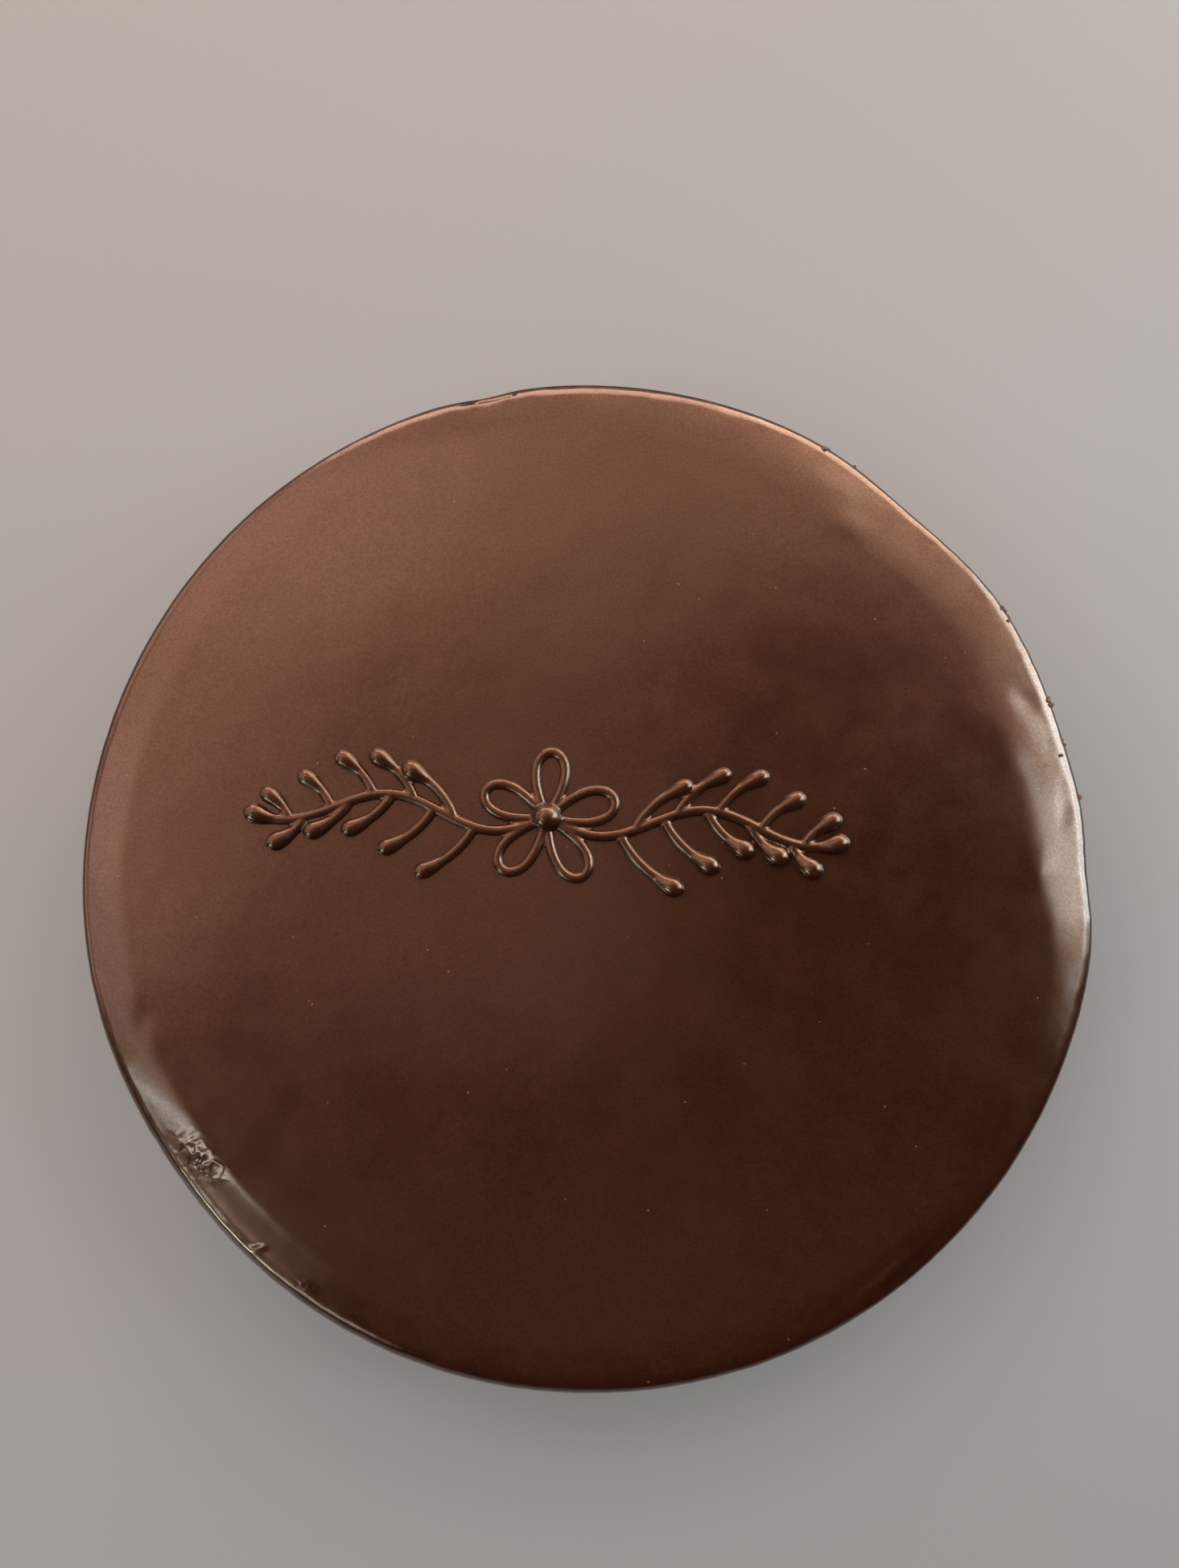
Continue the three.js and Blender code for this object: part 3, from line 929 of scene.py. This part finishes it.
def chocolate(name, satin, polish, grain_depth):
    """Set chocolate glaze: two close browns, a satin sheen with a little polish over it, a fine grain, and
    painted shade in its pinholes.
    """
    material, nodes, shader, place = finish_nodes(name)
    cloudy = between(nodes, grain(nodes, place, CLOUD_SIZE, detail=3.0), 0, 1)
    mottled = between(nodes, grain(nodes, place, MOTTLE_SIZE), 0, MOTTLE_SHARE)
    grainy = between(nodes, grain(nodes, place, GRAIN_SIZE, detail=1.0), 0, GRAIN_SHARE)
    share = nodes.math("ADD", nodes.math("MULTIPLY", cloudy, CLOUD_SHARE), nodes.math("ADD", mottled, grainy))
    colour = mixed(nodes, share, DARK_CHOCOLATE, LIGHT_CHOCOLATE)
    smudge = nodes.add("ShaderNodeAttribute", attribute_name="smudge").outputs["Fac"]
    colour = mixed(nodes, nodes.math("MULTIPLY", smudge, SMUDGE_SHARE), colour, DEEP_CHOCOLATE)

    pattern = {"Vector": place, "Scale": 1 / SPECK_SPACING, "Randomness": 1.0}
    specks = nodes.add("ShaderNodeTexVoronoi", pattern)
    numbers = nodes.add("ShaderNodeSeparateColor", {0: specks.outputs["Color"]}).outputs
    near = between(nodes, specks.outputs["Distance"], 1, 0, *SPECK_RADII)
    pale = between(nodes, numbers[0], 0, CRYSTAL_SHARE, CRYSTALS_FROM, CRYSTALS_FROM + NUMBER_STEP)
    hollow = between(nodes, numbers[1], 0, 1, PITS_FROM, PITS_FROM + NUMBER_STEP)
    crystal, pit_with_painted_shade = nodes.math("MULTIPLY", pale, near), nodes.math("MULTIPLY", hollow, near)
    colour = mixed(nodes, crystal, colour, PALE_SPECK)
    # the pinholes' darker colour is painted shade in their hollows
    nodes.give(shader.inputs["Base Color"], mixed(nodes, pit_with_painted_shade, colour, DEEP_CHOCOLATE))

    crinkled = nodes.add("ShaderNodeAttribute", attribute_name="crinkled").outputs["Fac"]
    smoother = nodes.math("SUBTRACT", 1.0, nodes.math("MULTIPLY", crinkled, CRINKLED_GLOSS))
    worn = between(nodes, grain(nodes, place, WEAR_SIZE), *satin)
    nodes.give(shader.inputs["Roughness"], nodes.math("MULTIPLY", worn, smoother))
    shader.inputs["IOR"].default_value = CHOCOLATE_IOR
    shader.inputs["Specular Tint"].default_value = CHOCOLATE_SHEEN
    sparkle = between(nodes, grain(nodes, place, SPARKLE_SIZE, detail=1.0), *SPARKLE_RANGE)
    nodes.give(shader.inputs["Specular IOR Level"], sparkle)
    shader.inputs["Coat Weight"].default_value = polish
    shader.inputs["Coat Roughness"].default_value = COAT_ROUGHNESS

    fine = nodes.math("MULTIPLY", grain(nodes, place, FINE_BUMP_SIZE, detail=1.0), FINE_BUMP_SHARE)
    relief = nodes.math("ADD", fine, grain(nodes, place, BROAD_BUMP_SIZE))
    relief = nodes.math("SUBTRACT", relief, nodes.math("MULTIPLY", pit_with_painted_shade, PIT_DEPTH))
    nodes.give(shader.inputs["Normal"], bumped(nodes, grain_depth, relief))
    return material


def baked_crumb():
    """Crumbs of the chocolate sponge: dry, warm brown and open-pored."""
    material, nodes, shader, place = finish_nodes("sponge_crumb")
    tone = between(nodes, grain(nodes, place, CRUMB_TONE_SIZE, detail=3.0), 0, 1)
    pores = grain(nodes, place, CRUMB_PORE_SIZE, detail=3.0)
    nodes.give(shader.inputs["Base Color"], mixed(nodes, tone, DARK_CRUMB, PALE_CRUMB))
    shader.inputs["Roughness"].default_value = CRUMB_ROUGHNESS
    nodes.give(shader.inputs["Normal"], bumped(nodes, CRUMB_PORE_DEPTH, pores))
    return material


def plain_finish(name, colour, roughness):
    """A plain finish for what is round the torte."""
    material, _, shader, _ = finish_nodes(name)
    shader.inputs["Base Color"].default_value = colour
    shader.inputs["Roughness"].default_value = roughness
    return material


GLAZE = chocolate("poured_chocolate", satin=(0.20, 0.27), polish=0.32, grain_depth=0.010)
PIPED = chocolate("piped_chocolate", satin=(0.25, 0.30), polish=0.2, grain_depth=0.004)
CRUMB = baked_crumb()


# ---- Pieces ----


def make_glaze():
    """The glaze over the whole torte, which stands for the solid."""
    shell = link("glaze_shell", glaze_mesh())
    run_tree(shell, hand_spread_tree(), {"Seed": 3.0, "Material": GLAZE})
    return settled(shell, "poured_glaze")


def make_ornament():
    """The piped ornament, its beads run together into one skin."""
    lines = link("ornament_lines", ornament_lines())
    run_tree(lines, piped_line_tree(), {"Seed": 1.0, "Material": PIPED})
    beads = settled(lines, "beads")
    skin = beads.modifiers.new("run_together", "REMESH")
    skin.mode = "VOXEL"
    skin.voxel_size = ORNAMENT_VOXEL * MM
    skin.use_smooth_shade = True
    soft = beads.modifiers.new("settle", "SMOOTH")
    soft.factor = SOFTENING_FACTOR
    soft.iterations = SOFTENING_STEPS
    ornament = settled(beads, "piped_ornament")
    if not ornament.data.materials:
        ornament.data.materials.append(PIPED)
    return ornament


def make_crumbs(glaze):
    """Sponge crumbs caught in the glaze under its edge."""
    bed = glaze.data.copy()
    bed.materials.clear()
    places = np.empty(3 * len(bed.vertices), np.float32)
    bed.vertices.foreach_get("co", places)
    places = places.reshape(-1, 3) / MM
    azimuth, height = np.arctan2(places[:, 1], places[:, 0]), places[:, 2]
    outside = np.hypot(places[:, 0], places[:, 1]) > CRUMB_RADIUS
    at_level = hump(height - CRUMB_LEVEL["height"], CRUMB_LEVEL["spread"]) * outside
    wanted = at_level * sum(spot["rise"] * hump_at(azimuth, spot) for spot in CRUMB_SPOTS)
    bed.attributes.new("grains", "FLOAT", "POINT").data.foreach_set("value", wanted.astype(np.float32))
    bedding = link("crumb_bed", bed)
    smallest, largest = (size * MM for size in CRUMB_SIZES)
    values = {"Per Square Metre": CRUMBS_PER_SQUARE_METRE, "Smallest": smallest, "Largest": largest}
    run_tree(bedding, scatter_tree(), {**values, "Seed": 5, "Material": CRUMB})
    return settled(bedding, "sponge_crumbs")


# ---- The stage ----

# Light colours: warm ones, one near white, and cool ones.
AMBER = (1.0, 0.79, 0.64)
WARM = (1.0, 0.81, 0.72)
GOLDEN = (1.0, 0.88, 0.72)
ROSY = (1.0, 0.76, 0.74)
NEUTRAL = (1.0, 0.96, 0.97)
HAZY = (0.78, 0.92, 1.0)
DAYLIGHT = (0.85, 0.98, 1.0)
COOL = (0.62, 0.86, 1.0)
LAMP = (0.66, 1.0, 0.9)

FLOOR_REACH = 3000
FLOOR_COLOUR = (0.20, 0.19, 0.18, 1)
FLOOR_ROUGHNESS = 0.8
AIR_COLOUR = (1.0, 0.8, 0.66, 1)
AIR_BRIGHTNESS = 0.015

CAMERA_PLACE = (0.3, -17, 315.1)
CAMERA_TILT = math.radians(7.5)  # away from straight down
CAMERA_LENS = 27.7
CAMERA_SENSOR = 36


def softbox(
    name, colour, brightness, size, place, fade, turn=0, aim=None, lights_diffuse=True, seen_in_gloss=True
):
    """A rectangular light that fades out towards its edges, level and turned, or aimed at a place.

    It can be kept from lighting matt surfaces, and from showing in glossy ones.
    """
    data = bpy.data.lights.new(name, "AREA")
    data.shape = "RECTANGLE"
    data.color = colour
    data.size, data.size_y = size[0] * MM, size[1] * MM
    data.energy = math.pi * brightness * data.size * data.size_y
    data.use_nodes = True
    nodes = Nodes(data.node_tree)
    spot = nodes.add("ShaderNodeNewGeometry").outputs["Parametric"]
    shares = nodes.add("ShaderNodeSeparateXYZ", {0: spot}).outputs
    strength = 1.0
    for share, side in zip(shares, size):
        from_middle = nodes.math("ABSOLUTE", nodes.math("SUBTRACT", share, 0.5))
        from_edge = nodes.math("MULTIPLY", nodes.math("SUBTRACT", 0.5, from_middle), side)
        strength = nodes.math("MULTIPLY", between(nodes, from_edge, 0, 1, 0, fade), strength)
    nodes.give(data.node_tree.nodes["Emission"].inputs["Strength"], strength)
    light = link(name, data)
    light.location = Vector(place) * MM
    if aim is None:
        light.rotation_euler = (0, 0, math.radians(turn))
    else:
        light.rotation_euler = (Vector(aim) - Vector(place)).to_track_quat("-Z", "Y").to_euler()
    light.visible_diffuse = lights_diffuse
    light.visible_glossy = seen_in_gloss


def set_floor():
    """A plain pale floor."""
    reach = FLOOR_REACH * MM
    mesh = bpy.data.meshes.new("floor")
    corners = [(-reach, -reach, 0), (reach, -reach, 0), (reach, reach, 0), (-reach, reach, 0)]
    mesh.from_pydata(corners, [], [(0, 1, 2, 3)])
    mesh.materials.append(plain_finish("pale_floor", FLOOR_COLOUR, FLOOR_ROUGHNESS))
    link("floor", mesh)


def light_from_above():
    """Level lights: a fill, and what the top mirrors, warm on its far side with cool strips at its edges."""
    softbox("fill", NEUTRAL, 1.8, (1500, 1500), (0, 0, 835), fade=300, seen_in_gloss=False)
    softbox("far", WARM, 2.6, (1900, 960), (0, 640, 831), fade=290)
    softbox("far_edge", AMBER, 4.0, (1300, 700), (20, 700, 831), fade=220)
    softbox("left", ROSY, 1.6, (800, 800), (-510, 367, 830), fade=140, turn=-34)
    softbox("left_edge", NEUTRAL, 2.7, (600, 640), (-700, 20, 829), fade=160, turn=-12)
    softbox("middle", WARM, 0.95, (760, 640), (-230, 135, 828), fade=170)
    softbox("near", AMBER, 0.25, (760, 520), (-60, -330, 828), fade=200)
    softbox("right_soft", NEUTRAL, 0.25, (400, 550), (438, 260, 830), fade=120, turn=30)
    softbox("far_right", GOLDEN, 4, (280, 340), (450, 690, 829), fade=80, turn=-36)
    softbox("far_right_edge", NEUTRAL, 2.0, (220, 420), (700, 575, 828), fade=70, turn=40)
    softbox("near_left", COOL, 18, (480, 110), (-600, -350, 831), fade=35, turn=14)
    softbox("near_left_bright", DAYLIGHT, 9, (90, 300), (-760, -690, 827), fade=30, turn=43)
    softbox("near_left_dim", HAZY, 0.6, (380, 300), (-570, -530, 829), fade=120, turn=43)
    softbox("right", NEUTRAL, 2.6, (400, 310), (700, 105, 831), fade=60)
    softbox("right_bright", COOL, 11, (350, 200), (735, 105, 829), fade=45)
    softbox("right_near", COOL, 10, (200, 130), (775, -100, 830), fade=40)


def light_from_the_sides():
    """Aimed lights round the torte, which only glossy glaze shows."""
    at_top, above_top = (0, 0, TORTE_HEIGHT), (0, 0, 500)

    def mirrored(name, colour, brightness, size, place, fade, aim):
        softbox(name, colour, brightness, size, place, fade, aim=aim, lights_diffuse=False)

    mirrored("window_top", COOL, 12, (520, 280), (850, 160, 690), fade=30, aim=at_top)
    mirrored("right_wall", COOL, 19, (460, 680), (930, 190, 460), fade=80, aim=above_top)
    mirrored("right_corner", DAYLIGHT, 14, (420, 680), (810, 490, 460), fade=80, aim=above_top)
    mirrored("right_far_wall", GOLDEN, 13, (560, 680), (505, 805, 460), fade=80, aim=above_top)
    mirrored("far_wall", WARM, 10, (1100, 740), (-100, 940, 460), fade=220, aim=above_top)
    mirrored("left_wall", WARM, 3.4, (800, 740), (-780, 545, 460), fade=220, aim=above_top)
    mirrored("left_side_wall", WARM, 2.8, (700, 740), (-950, -10, 460), fade=220, aim=above_top)
    mirrored("near_low", LAMP, 24, (200, 260), (-650, -590, 410), fade=20, aim=at_top)
    mirrored("near_low_right", HAZY, 5, (240, 220), (-500, -730, 400), fade=20, aim=at_top)


def set_air():
    """The dim warm light of the room itself."""
    world = bpy.data.worlds.new("room")
    world.use_nodes = True
    air = world.node_tree.nodes["Background"]
    air.inputs["Color"].default_value = AIR_COLOUR
    air.inputs["Strength"].default_value = AIR_BRIGHTNESS
    bpy.context.scene.world = world


def set_camera():
    """The camera, almost straight over the torte."""
    data = bpy.data.cameras.new("camera")
    data.sensor_width = CAMERA_SENSOR
    data.lens = CAMERA_LENS
    data.clip_start, data.clip_end = 0.01, 20
    camera = link("camera", data)
    camera.location = Vector(CAMERA_PLACE) * MM
    camera.rotation_euler = (CAMERA_TILT, 0, 0)
    bpy.context.scene.camera = camera
    bpy.context.scene.view_settings.view_transform = "Standard"


glaze = make_glaze()
ornament = make_ornament()
crumbs = make_crumbs(glaze)
for piece in (glaze, ornament, crumbs):
    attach(piece, "root")
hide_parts("torte")
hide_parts("torte")

set_floor()
light_from_above()
light_from_the_sides()
set_air()
set_camera()
